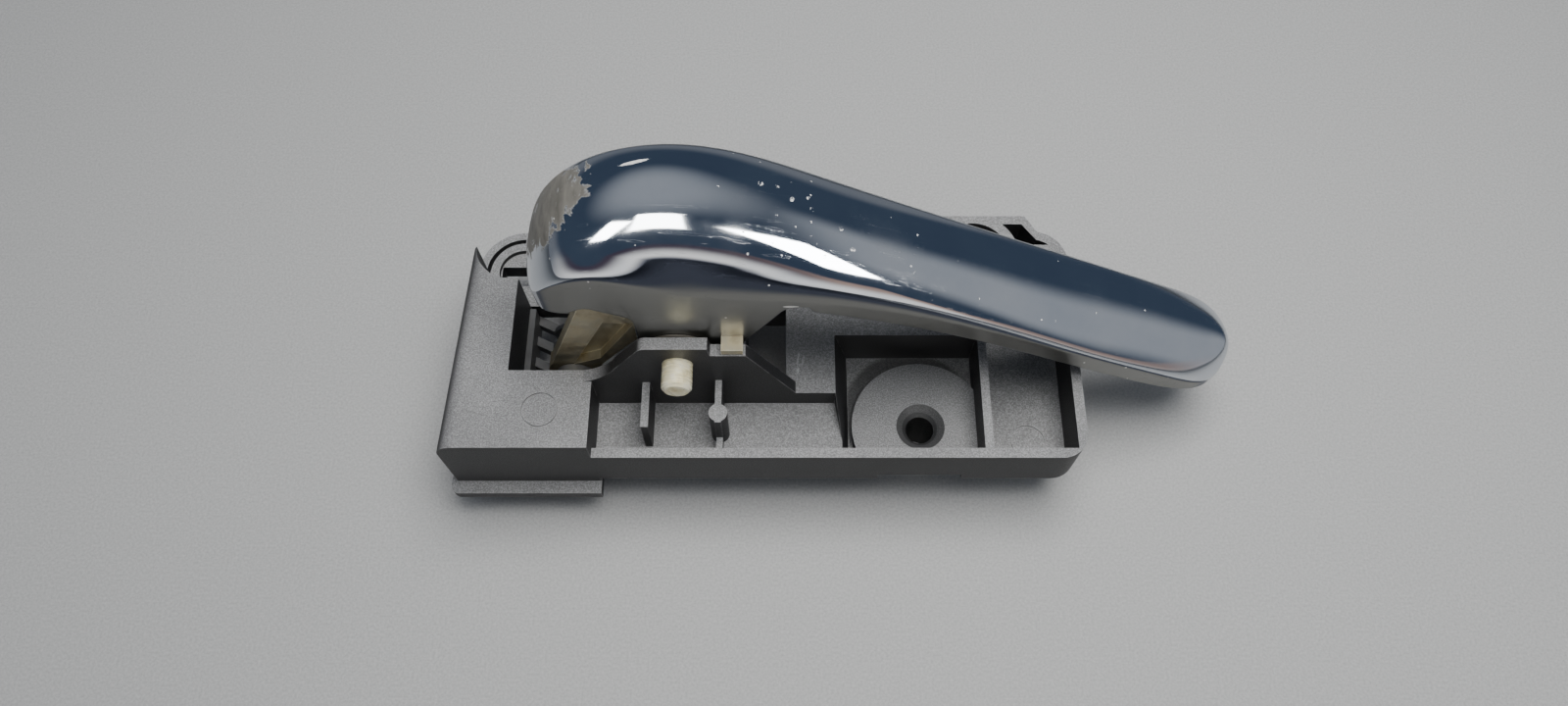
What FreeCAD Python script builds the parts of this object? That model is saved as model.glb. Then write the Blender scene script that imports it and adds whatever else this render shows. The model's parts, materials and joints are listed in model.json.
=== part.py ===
import FreeCAD, Part
import math
import os

# Interior car door handle: moulded base, chrome lever on a steel pivot pin, and steel crank.
# Millimetres, +Z up. The origin is on the axis of the front fixing screw hole, at the plane
# of the seats that bear on the door panel. +X runs along the grip to its tip, and -Y is the
# side that the pivot pin's free end points to.

V = FreeCAD.Vector

# Base housing: outline and levels
WALL = 1.9
BASE_FRONT = -9.3
BASE_BACK = 42.5
BASE_RIGHT = 30.0
BASE_LEFT = -89.7
BASE_LEFT_BACK = -87.5
RIM_BOTTOM = 12.0
RIM_TOP = 23.7
CORNER_R = 5.0
FLOOR_LOW = 13.0
FLOOR_THICKNESS = 2.0
FLOOR_MIDDLE = 18.7
SHELF_TOP = 17.0
SHELF_CORNER_R = 9.0
SHELF_CORNER_X = -79.8

# Left block with its foot and horn
BLOCK_TOP = 29.0
BLOCK_RIGHT = -61.9
BLOCK_BOTTOM = 8.0
FOOT_TOP = 10.4
FOOT_PROUD = 2.5
FOOT_WIDER = 1.1
BLOCK_SKIN = 2.2
HORN_TIP_Y = 33.0
HORN_FOOT_X = -81.2
EDGE_ROUND = 3.6
MARK_R = 3.4
MARK_DEPTH = 0.25

# Slot for the lever, and the ears that hold the pin
SLOT_LEFT = -77.5
SLOT_RIGHT = -26.0
SLOT_FRONT = 5.9
SLOT_BACK = 25.4
EAR_THICKNESS = 2.3
EAR_TOP = 42.9
EAR_LEFT = -63.5
EAR_RIGHT = -24.2
EAR_STEP = 40.2
EAR_STEP_LEFT = -39.4
EAR_STEP_RIGHT = -33.2

# Pockets in the top of the base
MIDDLE_RIGHT = -16.7
SCREW_LEFT = -13.9
SCREW_RIGHT = 10.8
SCREW_BACK = 15.7
RIB = 1.6
RIGHT_POCKET_BACK = 31.0
PAD_R = 13.3
PAD_TOP = 15.5
ROUND_POCKET = V(11.7, 34.2, 0)
ROUND_POCKET_R = 6.6
REAR_FLOOR_HALF = 5.6

# Fixing holes and seats
HOLE_R = 2.75
SINK_R = 4.7
BOSS_R = 4.5
PEG_R = 3.0
PEG_PLACE = V(-70.0, 34.5, 0)
FOOT_PEG_PLACE = V(-82.0, -2.0, 0)

# Pivot
PIVOT = V(-45.4, 0, 36.6)
PIN_R = 2.75
PIN_FRONT = -1.6
PIN_BACK = 31.0
PIN_CHAMFER = 0.6
RUNNING_GAP = 0.05
BUSH_R = 4.1
BUSH_FLANGE_R = 6.2
BUSH_FLANGE = 0.5
HUB_R = 7.0

# Lever: cheeks of the lug, skin thickness
CHEEK_FRONT = 6.6
CHEEK = 2.4
CHEEK_BACK = 24.7
SKIN = 2.0

# Lever sections along the grip, from the head to the tip:
# x, front lower y, crease y, back y, lower z, crease z, crown z, back shoulder z
LEVER_SECTIONS = [
    (-70.0, 13.0, 13.6, 22.0, 50.0, 53.0, 54.5, 53.2),
    (-68.6, 9.4, 10.8, 26.0, 48.6, 55.6, 58.4, 56.4),
    (-64.5, 7.4, 9.4, 28.4, 48.8, 61.0, 64.9, 62.0),
    (-57.0, 6.8, 8.9, 29.3, 50.0, 64.4, 69.4, 65.6),
    (-47.5, 6.7, 8.7, 29.5, 51.0, 63.1, 71.4, 66.2),
    (-37.5, 6.7, 8.4, 29.0, 52.0, 60.6, 70.0, 64.6),
    (-26.5, 6.7, 8.0, 28.0, 52.6, 58.8, 66.2, 61.0),
    (-13.0, 6.7, 7.8, 26.6, 47.6, 55.8, 60.8, 56.0),
    (2.0, 6.8, 7.8, 25.8, 42.4, 49.6, 54.2, 49.6),
    (17.0, 7.0, 8.0, 25.4, 35.0, 41.4, 46.0, 41.6),
    (31.0, 7.2, 8.3, 25.0, 27.2, 33.8, 38.4, 34.2),
    (44.0, 7.6, 8.8, 24.2, 20.6, 27.2, 31.6, 27.6),
    (53.5, 9.2, 10.2, 22.8, 17.4, 22.2, 26.2, 22.6),
    (58.6, 12.0, 12.8, 20.2, 17.6, 20.2, 22.8, 20.4),
    (60.4, 14.2, 14.6, 18.0, 18.6, 19.6, 21.0, 19.7),
]
CAVITY_DROP = 6.0
BACKING_LIFT = 0.6
BACKING = 2.2
BACKING_GAP = 0.12
BACKING_Y = 16.3
BACKING_SCREW_X = [-8.0, 46.0]

# Crank arm, a steel pressing just behind the front cheek
ARM_FRONT = 9.2
ARM_THICKNESS = 3.0
ARM_RECESS = 1.9
ROD_HOLE = V(-66.4, 0, 21.6)
ROD_HOLE_R = 2.6
ARM_END_R = 5.0
ARM_HUB_HOLE_R = 4.6
ARM_SCREWS = [V(-56.0, 0, 54.6), V(-39.5, 0, 48.0)]
ARM_TOP = 57.0
TAB_FRONT = 3.8
TAB_LEFT = -37.4
TAB_RIGHT = -33.6
TAB_BOTTOM = 40.5
TAB_TOP = 42.0
TAB_GAP = 0.1
SCREW_SHANK_R = 1.25
SCREW_HEAD_R = 2.6
SCREW_HEAD = 1.5

# Rod clip that swivels in the arm's end
CLIP_R = 4.6
CLIP_BODY = 5.0
CLIP_ROD_R = 1.6

# Return spring envelope
SPRING_INNER_R = 4.2
SPRING_OUTER_R = 5.7
SPRING_FRONT = 13.4
SPRING_BACK = 21.4

# Stops
CROSSBAR_LEFT = -44.2
CROSSBAR_RIGHT = -40.7
CROSSBAR_TOP = 16.0
PEDESTAL_LEFT = -36.7
PEDESTAL_RIGHT = -33.4
PEDESTAL_TOP = 33.0
HEEL_BOTTOM = 38.5
STOP_GAP = 0.3


def box(x0, y0, z0, x1, y1, z1):
    return Part.makeBox(x1 - x0, y1 - y0, z1 - z0, V(x0, y0, z0))


def rod_z(place, radius, z0, z1):
    return Part.makeCylinder(radius, z1 - z0, V(place.x, place.y, z0))


def rod_y(place, radius, y0, y1):
    return Part.makeCylinder(radius, y1 - y0, V(place.x, y0, place.z), V(0, 1, 0))


def plan_prism(points, z0, z1):
    corners = [V(x, y, z0) for x, y in points]
    face = Part.Face(Part.makePolygon(corners + corners[:1]))
    return face.extrude(V(0, 0, z1 - z0))


def side_prism(points, y0, y1):
    corners = [V(x, y0, z) for x, z in points]
    face = Part.Face(Part.makePolygon(corners + corners[:1]))
    return face.extrude(V(0, y1 - y0, 0))


def wire_prism(edges, direction):
    return Part.Face(Part.Wire(edges)).extrude(direction)


def arc(a, b, c):
    return Part.Arc(a, b, c).toShape()


def line(a, b):
    return Part.makeLine(a, b)


def union(shapes):
    return shapes[0].fuse(shapes[1:]).removeSplitter()


def save(shape, node):
    if not shape.isValid():
        raise RuntimeError(node + " is not a valid shape")
    print(node, "solids", len(shape.Solids), "volume", round(shape.Volume, 1))
    shape.exportStep("parts/" + node + ".step")


# ---------------------------------------------------------------- base housing

def tray_outline(inset, z0, z1):
    """Plan of the tray with its rounded front corner, back step and rounded ear at the back right."""
    x_left = BLOCK_RIGHT - 3.0 + inset
    x_right = BASE_RIGHT - inset
    y_front = BASE_FRONT + inset
    y_back = BASE_BACK - inset
    r = CORNER_R - inset
    k = r * (1 - math.sqrt(0.5))
    bump_r = 6.6 - inset
    bump = V(BASE_RIGHT - 6.6, 32.3, z0)
    step_x = 22.3 - 0.4 * inset
    bump_start = bump + V(bump_r * math.cos(math.radians(80)), bump_r * math.sin(math.radians(80)), 0)
    bump_mid = bump + V(bump_r * math.cos(math.radians(40)), bump_r * math.sin(math.radians(40)), 0)
    edges = [
        line(V(x_left, y_front, z0), V(x_right - r, y_front, z0)),
        arc(V(x_right - r, y_front, z0), V(x_right - k, y_front + k, z0), V(x_right, y_front + r, z0)),
        line(V(x_right, y_front + r, z0), V(x_right, bump.y, z0)),
        arc(V(x_right, bump.y, z0), bump_mid, bump_start),
        line(bump_start, V(step_x, y_back, z0)),
        line(V(step_x, y_back, z0), V(x_left, y_back, z0)),
        line(V(x_left, y_back, z0), V(x_left, y_front, z0)),
    ]
    return wire_prism(edges, V(0, 0, z1 - z0))


def left_plan(inset, y_back, z0, z1):
    """Plan of the left block and column, whose left side leans in towards the back."""
    lean = (BASE_LEFT_BACK - BASE_LEFT) / (HORN_TIP_Y - BASE_FRONT)
    y0 = BASE_FRONT + inset
    points = [
        (BASE_LEFT + inset + lean * inset, y0),
        (BLOCK_RIGHT - inset, y0),
        (BLOCK_RIGHT - inset, SLOT_FRONT - inset),
        (SLOT_LEFT - inset, SLOT_FRONT - inset),
        (SLOT_LEFT - inset, y_back),
        (BASE_LEFT + inset + lean * (y_back - BASE_FRONT), y_back),
    ]
    return plan_prism(points, z0, z1)


def horn():
    """Pointed horn at the block's back left corner, with a hollow arc to the column's back edge."""
    z0 = BLOCK_BOTTOM
    base_y = SLOT_BACK - 0.5
    lean = (BASE_LEFT_BACK - BASE_LEFT) / (HORN_TIP_Y - BASE_FRONT)
    left = BASE_LEFT + lean * (base_y - BASE_FRONT)
    tip = V(BASE_LEFT_BACK, HORN_TIP_Y, z0)
    tip_right = V(BASE_LEFT_BACK + 0.9, HORN_TIP_Y, z0)
    foot = V(HORN_FOOT_X, SLOT_BACK, z0)
    edges = [
        line(V(left, base_y, z0), tip),
        line(tip, tip_right),
        arc(tip_right, V(-85.0, 28.4, z0), foot),
        line(foot, V(HORN_FOOT_X, base_y, z0)),
        line(V(HORN_FOOT_X, base_y, z0), V(left, base_y, z0)),
    ]
    return wire_prism(edges, V(0, 0, BLOCK_TOP - z0))


def left_block():
    outer = left_plan(0, SLOT_BACK, BLOCK_BOTTOM, BLOCK_TOP).fuse(horn()).removeSplitter()
    long_edges = []
    for edge in outer.Edges:
        ends = [v.Point for v in edge.Vertexes]
        on_top = all(abs(p.z - BLOCK_TOP) < 1e-6 for p in ends)
        if on_top and edge.Length > 30 and max(p.x for p in ends) < BASE_LEFT_BACK + 0.5:
            long_edges.append(edge)
    outer = outer.makeFillet(EDGE_ROUND, long_edges)
    hollow = left_plan(BLOCK_SKIN, SLOT_BACK - BLOCK_SKIN, BLOCK_BOTTOM - 1, BLOCK_TOP - BLOCK_SKIN)
    block = outer.cut(hollow)
    stiffeners = [
        box(-80.0, BASE_FRONT + 1, BLOCK_BOTTOM + 4, -78.6, SLOT_FRONT - 1, BLOCK_TOP - 1),
        box(-70.4, BASE_FRONT + 1, BLOCK_BOTTOM + 4, -69.0, SLOT_FRONT - 1, BLOCK_TOP - 1),
    ]
    return union([block] + stiffeners)


def foot():
    y0 = BASE_FRONT - FOOT_PROUD
    end = 1.6
    x0 = BASE_LEFT - FOOT_WIDER
    y_in = BASE_FRONT + 1.0
    z0 = BLOCK_BOTTOM
    k = end * (1 - math.sqrt(0.5))
    edges = [
        line(V(x0 + end, y0, z0), V(BLOCK_RIGHT + 0.2, y0, z0)),
        line(V(BLOCK_RIGHT + 0.2, y0, z0), V(BLOCK_RIGHT + 0.2, y_in, z0)),
        line(V(BLOCK_RIGHT + 0.2, y_in, z0), V(x0, y_in, z0)),
        line(V(x0, y_in, z0), V(x0, y0 + end, z0)),
        arc(V(x0, y0 + end, z0), V(x0 + k, y0 + k, z0), V(x0 + end, y0, z0)),
    ]
    return wire_prism(edges, V(0, 0, FOOT_TOP - z0))


def back_shelf():
    """Low shelf behind the slot's left end: rounded corner, groove and a cable window."""
    z0 = RIM_BOTTOM
    x_right = BLOCK_RIGHT
    y0 = SLOT_BACK
    r = SHELF_CORNER_R
    centre = V(SHELF_CORNER_X, BASE_BACK - r, z0)
    x_left = centre.x - r
    start = V(x_left, centre.y, z0)
    middle = centre + V(-r * math.sqrt(0.5), r * math.sqrt(0.5), 0)
    top = V(centre.x, BASE_BACK, z0)
    edges = [
        line(V(x_left, y0, z0), V(x_right, y0, z0)),
        line(V(x_right, y0, z0), V(x_right, BASE_BACK, z0)),
        line(V(x_right, BASE_BACK, z0), top),
        arc(top, middle, start),
        line(start, V(x_left, y0, z0)),
    ]
    shelf = wire_prism(edges, V(0, 0, SHELF_TOP - z0))
    groove = rod_z(centre, r - 1.6, SHELF_TOP - 2.2, SHELF_TOP + 1)
    groove = groove.cut(rod_z(centre, r - 2.5, SHELF_TOP - 3, SHELF_TOP + 2))
    groove = groove.common(box(x_left, centre.y - 3, RIM_BOTTOM, centre.x, BASE_BACK, SHELF_TOP + 2))
    well = rod_z(centre, r - 4.2, SHELF_TOP - 1.2, SHELF_TOP + 1)
    window = box(-84.3, 30.6, RIM_BOTTOM - 1, -74.0, 35.0, SHELF_TOP + 1)
    return shelf.cut([groove, well, window])


def ear(y0):
    """Ear with an S-shaped rise on the left, and a step below the crank arm's tab on the right."""
    low = RIM_BOTTOM
    foot_left = V(EAR_LEFT, y0, BLOCK_TOP)
    bend = V(-57.0, y0, 34.6)
    rise = V(-52.3, y0, EAR_TOP - 1.1)
    flat_left = V(-50.3, y0, EAR_TOP)
    flat_right = V(EAR_STEP_LEFT - 0.4, y0, EAR_TOP)
    step_left = V(EAR_STEP_LEFT, y0, EAR_STEP)
    step_right = V(EAR_STEP_RIGHT, y0, EAR_STEP)
    fall = V(EAR_STEP_RIGHT + 1.0, y0, EAR_STEP - 1.7)
    foot_right = V(EAR_RIGHT, y0, RIM_TOP)
    edges = [
        arc(foot_left, V(-60.2, y0, 30.7), bend),
        line(bend, rise),
        arc(rise, V(-51.5, y0, EAR_TOP - 0.3), flat_left),
        line(flat_left, flat_right),
        line(flat_right, step_left),
        line(step_left, step_right),
        line(step_right, fall),
        line(fall, foot_right),
        line(foot_right, V(EAR_RIGHT, y0, low)),
        line(V(EAR_RIGHT, y0, low), V(EAR_LEFT, y0, low)),
        line(V(EAR_LEFT, y0, low), foot_left),
    ]
    return wire_prism(edges, V(0, EAR_THICKNESS, 0))


def top_pockets():
    """Hollows cut from the top of the tray."""
    y_in = BASE_FRONT + WALL
    high = RIM_TOP + 1
    middle = plan_prism([
        (BLOCK_RIGHT, y_in), (MIDDLE_RIGHT + 1.9, y_in),
        (MIDDLE_RIGHT, SLOT_FRONT - EAR_THICKNESS), (BLOCK_RIGHT, SLOT_FRONT - EAR_THICKNESS),
    ], FLOOR_MIDDLE, high)
    slope = (MIDDLE_RIGHT - SCREW_LEFT) / (RIM_TOP - FLOOR_LOW)
    screw = side_prism([
        (SCREW_LEFT, FLOOR_LOW), (SCREW_RIGHT, FLOOR_LOW), (SCREW_RIGHT, high),
        (SCREW_LEFT + slope * (high - FLOOR_LOW), high),
    ], y_in, SCREW_BACK)
    right = box(SCREW_RIGHT + RIB, y_in, FLOOR_LOW, BASE_RIGHT - WALL, RIGHT_POCKET_BACK, high)
    round_pocket = rod_z(ROUND_POCKET, ROUND_POCKET_R, FLOOR_LOW, high)
    return [middle, screw, right, round_pocket] + back_pockets(high)


def back_pockets(high):
    """Row of cells behind the rear ear."""
    y0 = SLOT_BACK + EAR_THICKNESS
    y1 = BASE_BACK - WALL
    count = 4
    x0 = BLOCK_RIGHT + WALL
    x1 = 1.2
    pitch = (x1 - x0) / count
    cells = []
    for i in range(count):
        cells.append(box(x0 + i * pitch, y0, FLOOR_MIDDLE - 3, x0 + (i + 1) * pitch - RIB, y1, high))
    return cells


def clip_slot():
    """Through slot at the back right corner, between the round pocket's wall and the rim."""
    inside = tray_outline(WALL, RIM_BOTTOM - 1, RIM_TOP + 1)
    zone = box(14.0, 35.8, RIM_BOTTOM - 1, BASE_RIGHT, BASE_BACK, RIM_TOP + 1)
    keep = rod_z(ROUND_POCKET, ROUND_POCKET_R + 2.1, RIM_BOTTOM - 2, RIM_TOP + 2)
    return inside.common(zone).cut(keep)


def under_pockets():
    """Coring from below under the deck between the slot and the screw pocket."""
    z0 = RIM_BOTTOM - 3
    top = RIM_TOP - FLOOR_THICKNESS
    return [
        box(-23.6, 8.2, z0, -17.4, 23.2, top),
        box(-15.8, SCREW_BACK + 2, z0, -3.5, 23.2, top),
        box(-2.0, SCREW_BACK + 2, z0, 8.6, 23.2, top),
    ]


def gussets():
    """Thin ribs on the front of the front ear, one of them with a round ejector post."""
    face = SLOT_FRONT - EAR_THICKNESS
    first = side_prism([(-52.5, FLOOR_MIDDLE), (-51.1, FLOOR_MIDDLE), (-51.1, 28.7), (-52.5, 28.7)],
                       face - 8.8, face + 0.5)
    second = box(-39.0, face - 9.4, FLOOR_MIDDLE - 0.5, -37.8, face + 0.5, 29.7)
    low = box(-39.0, BASE_FRONT + 1, FLOOR_MIDDLE - 0.5, -37.8, face, 22.0)
    post = rod_z(V(-38.4, face - 6.4, 0), 1.7, FLOOR_MIDDLE - 0.5, 29.7)
    trim = box(-40.5, BASE_FRONT, 22.0, -36.0, face - 8.3, 31.0)
    return [first, second.cut(trim), low, post]


def screw_floor():
    """Floor of the screw pocket, between its four walls."""
    return box(SCREW_LEFT, BASE_FRONT + WALL, RIM_BOTTOM, SCREW_RIGHT, SCREW_BACK, FLOOR_LOW)


def fixing_hole(place, top):
    hole = rod_z(place, HOLE_R, -1, top + 1)
    sink_depth = SINK_R - HOLE_R
    sink = Part.makeCone(HOLE_R, SINK_R, sink_depth, V(place.x, place.y, top - sink_depth))
    return [hole, sink]


def slot_bars():
    """Bars across the slot: one carries the open stop, the other the rest stop."""
    y0 = SLOT_FRONT - 1
    y1 = SLOT_BACK + 1
    low = box(CROSSBAR_LEFT, y0, BLOCK_BOTTOM, CROSSBAR_RIGHT, y1, CROSSBAR_TOP)
    high = box(PEDESTAL_LEFT, y0, BLOCK_BOTTOM + 10, PEDESTAL_RIGHT, y1, PEDESTAL_TOP)
    return [low, high]


def side_skirts():
    """Walls beside the slot that reach down to the crossbar."""
    y_front = SLOT_FRONT - EAR_THICKNESS
    front = box(BLOCK_RIGHT - 2, y_front, BLOCK_BOTTOM, SLOT_RIGHT, SLOT_FRONT, RIM_BOTTOM + 1)
    back = box(BLOCK_RIGHT - 2, SLOT_BACK, BLOCK_BOTTOM, SLOT_RIGHT, SLOT_BACK + EAR_THICKNESS, RIM_BOTTOM + 1)
    return [front, back]


def marks():
    """Shallow round ejector marks: block top and right pocket floor."""
    marks_made = []
    for place, top in ((V(-71.0, -2.0, 0), BLOCK_TOP), (V(21.0, -2.2, 0), FLOOR_LOW)):
        ring = rod_z(place, MARK_R, top - MARK_DEPTH, top + 1)
        marks_made.append(ring.cut(rod_z(place, MARK_R - 0.25, top - 1, top + 2)))
    return marks_made


def base_housing():
    tray = tray_outline(0, RIM_BOTTOM, RIM_TOP)
    tray = tray.cut(top_pockets() + under_pockets())
    tray = tray.cut([clip_slot(), screw_floor(), rear_floor()])
    slot = box(SLOT_LEFT, SLOT_FRONT, BLOCK_BOTTOM - 2, SLOT_RIGHT, SLOT_BACK, BLOCK_TOP + 20)
    tray = tray.cut(slot)
    pieces = [tray, left_block(), foot(), back_shelf(), ear(SLOT_FRONT - EAR_THICKNESS), ear(SLOT_BACK)]
    pieces += gussets() + slot_bars() + side_skirts()
    pieces += [rod_z(PEG_PLACE, PEG_R, 0, RIM_BOTTOM + 1)]
    pieces += [rod_z(FOOT_PEG_PLACE, PEG_R, 0, BLOCK_TOP - 1)]
    base = union(pieces)
    pin_hole = rod_y(PIVOT, PIN_R, SLOT_FRONT - EAR_THICKNESS - 1, SLOT_BACK + EAR_THICKNESS + 1)
    notch = box(-8.4, BASE_FRONT - 1, RIM_BOTTOM - 1, 7.6, BASE_FRONT + 1.2, RIM_BOTTOM + 2.0)
    return base.cut([pin_hole, notch] + marks())


def front_screw_seat():
    """Floor of the screw pocket with its round pad, and the boss below that bears on the panel."""
    front = V(0, 0, 0)
    pad = rod_z(front, PAD_R, FLOOR_LOW, PAD_TOP)
    pocket = box(SCREW_LEFT, BASE_FRONT + WALL, RIM_BOTTOM, SCREW_RIGHT, SCREW_BACK, PAD_TOP)
    seat = union([screw_floor(), pad.common(pocket), rod_z(front, BOSS_R, 0, FLOOR_LOW)])
    return seat.cut(fixing_hole(front, PAD_TOP))


def rear_floor():
    """Square of the round pocket's floor that takes the screw's countersink."""
    half = REAR_FLOOR_HALF
    return box(ROUND_POCKET.x - half, ROUND_POCKET.y - half, RIM_BOTTOM,
               ROUND_POCKET.x + half, ROUND_POCKET.y + half, FLOOR_LOW)


def rear_screw_seat():
    """Floor of the round pocket, and the boss below it that bears on the panel."""
    seat = union([rod_z(ROUND_POCKET, BOSS_R, 0, RIM_BOTTOM), rear_floor()])
    return seat.cut(fixing_hole(ROUND_POCKET, FLOOR_LOW))


# ---------------------------------------------------------------- pieces fixed to the base

def rod_guide():
    """Grey insert on the slot's left end, with three bars that guide the latch rod."""
    plate = box(SLOT_LEFT, SLOT_FRONT + 4.0, 10.0, SLOT_LEFT + 1.2, SLOT_BACK - 0.6, 17.0)
    bars = []
    for i in range(3):
        y = SLOT_FRONT + 5.0 + 4.6 * i
        bars.append(plan_prism([
            (SLOT_LEFT + 1.0, y + 3.2), (SLOT_LEFT + 1.0, y + 5.2), (-69.4, y + 1.8), (-69.4, y - 0.2),
        ], 10.6, 13.0))
    return union([plate] + bars)


def pivot_pin():
    shaft = rod_y(PIVOT, PIN_R, PIN_FRONT, PIN_BACK)
    rims = [e for e in shaft.Edges if e.Curve.TypeId == "Part::GeomCircle"]
    return shaft.makeChamfer(PIN_CHAMFER, rims)


def pin_retainer():
    """Push-on star washer on the pin's back end."""
    y0 = SLOT_BACK + EAR_THICKNESS
    washer = rod_y(PIVOT, 6.0, y0, y0 + 0.8)
    hub = rod_y(PIVOT, 4.0, y0 + 0.8, y0 + 1.8)
    washer = washer.fuse(hub)
    slits = []
    for i in range(6):
        slit = box(PIVOT.x, y0 - 1, PIVOT.z - 0.35, PIVOT.x + 4.8, y0 + 3, PIVOT.z + 0.35)
        slit.rotate(PIVOT, V(0, 1, 0), 60 * i)
        slits.append(slit)
    return washer.cut(slits + [rod_y(PIVOT, PIN_R, y0 - 1, y0 + 3)])


def return_spring():
    coil = rod_y(PIVOT, SPRING_OUTER_R, SPRING_FRONT, SPRING_BACK)
    return coil.cut(rod_y(PIVOT, SPRING_INNER_R, SPRING_FRONT - 1, SPRING_BACK + 1))


def rest_bumper():
    """Rubber block that the lever's heel rests on."""
    x0 = PEDESTAL_LEFT + 0.2
    x1 = PEDESTAL_RIGHT - 0.2
    block = box(x0, 14.6, PEDESTAL_TOP, x1, 20.6, HEEL_BOTTOM - STOP_GAP)
    uprights = [e for e in block.Edges if abs(e.Vertexes[0].Z - e.Vertexes[1].Z) > 3]
    return block.makeFillet(0.8, uprights)


def open_bumper():
    """Rubber pad that stops the crank arm at full travel."""
    pad = box(CROSSBAR_LEFT - 2.0, 8.8, BLOCK_BOTTOM + 0.6, CROSSBAR_LEFT, 12.6, CROSSBAR_TOP - 0.6)
    ends = [e for e in pad.Edges if abs(e.Vertexes[0].Y - e.Vertexes[1].Y) > 3]
    left = [e for e in ends if e.Vertexes[0].X < CROSSBAR_LEFT - 1]
    return pad.makeFillet(0.6, left)


# ---------------------------------------------------------------- lever

def lever_section(row, inset, drop):
    x, front, crease, back, low, crease_z, crown, back_z = row
    half = 0.5 * (crease + back)
    f = V(x, front + inset, low - drop)
    c = V(x, crease + inset, crease_z - 0.7 * inset)
    t = V(x, half, crown - inset)
    b = V(x, back - inset, back_z - 0.7 * inset)
    under = V(x, back - inset - 0.4, low - drop)
    return Part.Wire([line(f, c), arc(c, t, b), line(b, under), line(under, f)])


def lever_loft(inset, drop, rows):
    return Part.makeLoft([lever_section(row, inset, drop) for row in rows], True, False)


def cheek(y0, y1, body):
    """One cheek of the lug: hangs from the head and surrounds the pin."""
    below = V(PIVOT.x, y0, PIVOT.z - HUB_R)
    left = V(PIVOT.x - HUB_R, y0, PIVOT.z)
    edges = [
        line(V(-62.5, y0, 57.0), V(-60.5, y0, 51.8)),
        line(V(-60.5, y0, 51.8), V(PIVOT.x - HUB_R, y0, 48.0)),
        line(V(PIVOT.x - HUB_R, y0, 48.0), left),
        arc(left, V(PIVOT.x - HUB_R * math.sqrt(0.5), y0, PIVOT.z - HUB_R * math.sqrt(0.5)), below),
        line(below, V(-38.5, y0, 31.0)),
        line(V(-38.5, y0, 31.0), V(-33.9, y0, 38.1)),
        line(V(-33.9, y0, 38.1), V(-25.6, y0, 53.4)),
        line(V(-25.6, y0, 53.4), V(-27.0, y0, 75.0)),
        line(V(-27.0, y0, 75.0), V(-62.5, y0, 75.0)),
        line(V(-62.5, y0, 75.0), V(-62.5, y0, 57.0)),
    ]
    prism = wire_prism(edges, V(0, y1 - y0, 0))
    keep = body.fuse(box(-64, y0 - 1, 20, -24, y1 + 1, 53.6))
    return prism.common(keep)


def arm_seat():
    """Flat seat for the crank arm, sunk into the inside of the head's front wall."""
    return side_prism([
        (-62.8, 44.0), (-61.0, ARM_TOP + 0.4), (-37.4, ARM_TOP + 0.4), (-35.0, 44.0),
    ], ARM_FRONT, ARM_FRONT + ARM_THICKNESS + 0.2)


def tab_slot():
    """Slot in the front cheek that the crank arm's tab is pushed through."""
    return box(TAB_LEFT - TAB_GAP, CHEEK_FRONT - 1, TAB_BOTTOM - TAB_GAP,
               TAB_RIGHT + TAB_GAP, CHEEK_FRONT + CHEEK + 1, TAB_TOP + TAB_GAP)


def handle_shell():
    outer = lever_loft(0, 0, LEVER_SECTIONS)
    cavity = lever_loft(SKIN, CAVITY_DROP, LEVER_SECTIONS[1:-1])
    shell = outer.cut([cavity, arm_seat()])
    front = cheek(CHEEK_FRONT, CHEEK_FRONT + CHEEK, outer)
    back = cheek(CHEEK_BACK - CHEEK, CHEEK_BACK, outer)
    heel_front = ARM_FRONT + ARM_THICKNESS + STOP_GAP
    heel = box(-37.9, heel_front, HEEL_BOTTOM, -34.3, CHEEK_BACK - 1, HEEL_BOTTOM + 2.0)
    lever = union([shell, front, back, heel])
    bore = rod_y(PIVOT, BUSH_R, CHEEK_FRONT - 1, CHEEK_BACK + 1)
    screw_holes = [rod_y(p, SCREW_SHANK_R, CHEEK_FRONT + 1, CHEEK_FRONT + CHEEK + 1) for p in ARM_SCREWS]
    return lever.cut([bore, tab_slot()] + screw_holes)


def backing_section(x, z_low, z_high):
    y0 = CHEEK_FRONT - 1
    y1 = CHEEK_BACK + 6
    corners = [V(x, y0, z_low), V(x, y1, z_low), V(x, y1, z_high), V(x, y0, z_high)]
    return Part.makePolygon(corners + corners[:1])


def handle_backing():
    """Black cover that closes the underside of the grip, a loose fit between its walls."""
    rows = [row for row in LEVER_SECTIONS if -20 < row[0] < 58]
    wires = []
    for row in rows:
        z_low = row[4] + BACKING_LIFT
        wires.append(backing_section(row[0], z_low, z_low + BACKING))
    slab = Part.makeLoft(wires, True, True)
    cover = slab.common(lever_loft(SKIN + BACKING_GAP, CAVITY_DROP, LEVER_SECTIONS[1:-1]))
    holes = [backing_screw_cut(x) for x in BACKING_SCREW_X]
    return cover.cut(holes)


def underside(x):
    """Height of the cover's lower face at a station, between the sections on each side."""
    rows = LEVER_SECTIONS
    for a, b in zip(rows, rows[1:]):
        if a[0] <= x <= b[0]:
            return a[4] + (b[4] - a[4]) * (x - a[0]) / (b[0] - a[0]) + BACKING_LIFT
    raise ValueError(x)


def backing_screw_cut(x):
    place = V(x, BACKING_Y, 0)
    z = underside(x)
    return rod_z(place, 2.3, z - 3, z + 1.0).fuse(rod_z(place, 1.0, z, z + 5))


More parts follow.
